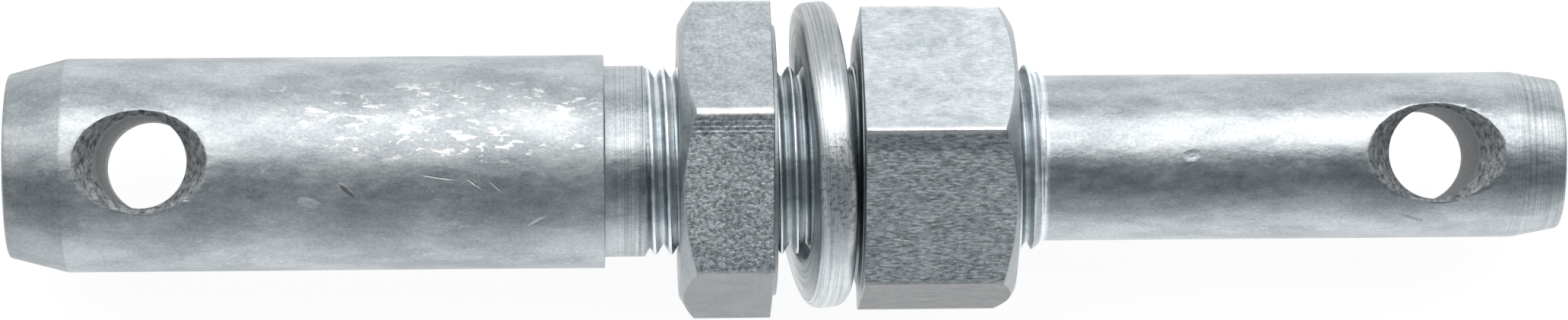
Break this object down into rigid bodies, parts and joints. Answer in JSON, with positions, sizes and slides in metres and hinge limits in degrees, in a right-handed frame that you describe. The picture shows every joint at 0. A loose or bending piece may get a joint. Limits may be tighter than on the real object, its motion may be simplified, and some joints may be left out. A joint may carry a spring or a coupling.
{
  "type": "implement hitch pin",
  "caption": "Double-ended implement pin, thick journal on one end and thin on the other, each cross-drilled, with two hexagon nuts and a split washer on a threaded middle.",
  "frame": {"origin": "on the pin's axis at its mid-length, which is the centre of the assembly's bounding box", "axes": "+X along the pin's axis from the thick journal towards the thin one; +Z along both cross holes; +Y completes the frame"},
  "size_m": [0.2076, 0.0425, 0.0428],
  "materials": {
    "plated_bar": "zinc-plated turned steel bar, satin, mottled",
    "plated_jam_nut": "zinc-plated forged steel with pebbled flats",
    "plated_spring_steel": "zinc-plated spring steel, rounded and pitted",
    "plated_full_nut": "zinc-plated forged steel, streaked flats"
  },
  "bodies": {
    "pin": {"pin": "plated_bar"},
    "lock_washer": {"lock_washer": "plated_spring_steel"},
    "jam_nut": {"jam_nut": "plated_jam_nut"},
    "full_nut": {"full_nut": "plated_full_nut"}
  },
  "joints": [
    {"name": "washer_travel", "type": "slide", "parent": "pin", "child": "lock_washer", "axis": [1, 0, 0], "range_m": [-0.00212, 0.0212]},
    {"name": "full_nut_turn", "type": "hinge", "parent": "lock_washer", "child": "full_nut", "pos_m": [0.0197, 0, 0], "axis": [1, 0, 0], "range_deg": [-360, 3600]},
    {"name": "jam_nut_turn", "type": "hinge", "parent": "lock_washer", "child": "jam_nut", "pos_m": [-0.0081, 0, 0], "axis": [1, 0, 0], "range_deg": [-360, 3600]}
  ],
  "couplings": [
    {"joint": "washer_travel", "follows": "full_nut_turn", "m_per_rad": 0.00033688},
    {"joint": "jam_nut_turn", "follows": "full_nut_turn", "ratio": 1}
  ]
}
